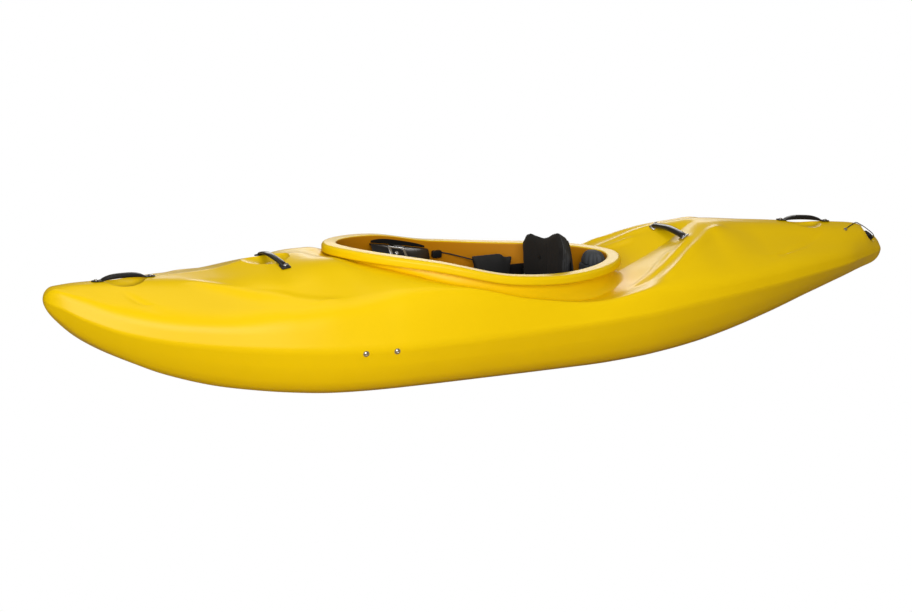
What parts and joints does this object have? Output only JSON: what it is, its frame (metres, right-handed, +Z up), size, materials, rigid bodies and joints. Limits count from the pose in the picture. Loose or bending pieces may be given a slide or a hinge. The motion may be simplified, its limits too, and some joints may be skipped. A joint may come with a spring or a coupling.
{
  "type": "whitewater kayak",
  "caption": "Sit-inside river kayak: moulded hull with rimmed cockpit, sliding seat, backband, thigh braces, footrest, grab handles, security bars and screw drain plug.",
  "frame": {"origin": "on the floor plane under the middle of the boat's outline", "axes": "+X to the bow, +Y to port, +Z up"},
  "size_m": [2.75, 0.663, 0.3932],
  "materials": {
    "hull_polyethylene": "satin, fine moulded grain",
    "black_plastic": "moulded, satin",
    "stainless_steel": "brushed",
    "aluminium_strip": "satin",
    "pad_fabric": "knitted pad cover",
    "pillar_foam": "closed-cell foam",
    "seal_rubber": "matt",
    "cord_webbing": "braided"
  },
  "bodies": {
    "hull": {"hull_shell": "hull_polyethylene", "bow_grab_handle": "black_plastic", "bow_handle_bolt_aft": "stainless_steel", "bow_handle_bolt_forward": "stainless_steel", "stern_grab_handle": "black_plastic", "stern_handle_bolt_aft": "stainless_steel", "stern_handle_bolt_forward": "stainless_steel", "front_security_bar": "black_plastic", "front_bar_bolt_port": "stainless_steel", "front_bar_bolt_starboard": "stainless_steel", "rear_security_bar": "black_plastic", "rear_bar_bolt_port": "stainless_steel", "rear_bar_bolt_starboard": "stainless_steel", "side_bolt_port_aft": "stainless_steel", "side_bolt_port_forward": "stainless_steel", "side_bolt_starboard_aft": "stainless_steel", "side_bolt_starboard_forward": "stainless_steel", "footrest_track_port": "black_plastic", "footrest_track_starboard": "black_plastic", "bow_foam_pillar": "pillar_foam", "stern_foam_pillar": "pillar_foam", "seat_track_port": "black_plastic", "seat_track_starboard": "black_plastic", "cord_cleat_port": "black_plastic", "cord_cleat_starboard": "black_plastic", "adjuster_cord_port": "cord_webbing", "adjuster_cord_starboard": "cord_webbing", "brace_clip_port": "stainless_steel", "brace_clip_starboard": "stainless_steel", "drain_bush": "black_plastic", "leash_anchor_screw": "stainless_steel", "drain_leash": "cord_webbing"},
    "footrest": {"footrest_arm_port": "aluminium_strip", "footrest_arm_starboard": "aluminium_strip", "footrest_plate": "black_plastic", "footrest_pad": "pad_fabric"},
    "seat": {"seat_pan": "black_plastic", "seat_pad": "pad_fabric", "hip_pad_port": "pad_fabric", "hip_pad_starboard": "pad_fabric"},
    "backband": {"backband_pad": "pad_fabric", "backband_shell": "black_plastic", "backband_pin_port": "stainless_steel", "backband_pin_starboard": "stainless_steel"},
    "thigh_brace_left": {"thigh_brace_port": "black_plastic", "thigh_pad_port": "pad_fabric"},
    "thigh_brace_right": {"thigh_brace_starboard": "black_plastic", "thigh_pad_starboard": "pad_fabric"},
    "plug_ring": {"drain_swivel_ring": "black_plastic"},
    "plug": {"drain_plug": "black_plastic", "drain_gasket": "seal_rubber"}
  },
  "joints": [
    {"name": "seat_slide", "type": "slide", "parent": "hull", "child": "seat", "axis": [1, 0, 0], "range_m": [-0.02, 0.03]},
    {"name": "backband_tilt", "type": "hinge", "parent": "seat", "child": "backband", "pos_m": [-0.212, 0, 0.213], "axis": [0, 1, 0], "range_deg": [-10, 25]},
    {"name": "thigh_brace_slide_left", "type": "slide", "parent": "hull", "child": "thigh_brace_left", "axis": [-0.9754, 0, -0.2203], "range_m": [0, 0.015]},
    {"name": "thigh_brace_slide_right", "type": "slide", "parent": "hull", "child": "thigh_brace_right", "axis": [-0.9754, 0, -0.2203], "range_m": [0, 0.015]},
    {"name": "footrest_slide", "type": "slide", "parent": "hull", "child": "footrest", "axis": [1, 0, 0], "range_m": [-0.065, 0.055]},
    {"name": "plug_out", "type": "slide", "parent": "hull", "child": "plug_ring", "axis": [-0.6947, 0, 0.7193], "range_m": [0, 0.008]},
    {"name": "plug_turn", "type": "hinge", "parent": "plug_ring", "child": "plug", "pos_m": [-1.30758, 0.022, 0.24851], "axis": [-0.6947, 0, 0.7193], "range_deg": [0, 720]}
  ],
  "couplings": [
    {"joint": "plug_turn", "follows": "plug_out", "rad_per_m": 1570.8}
  ]
}
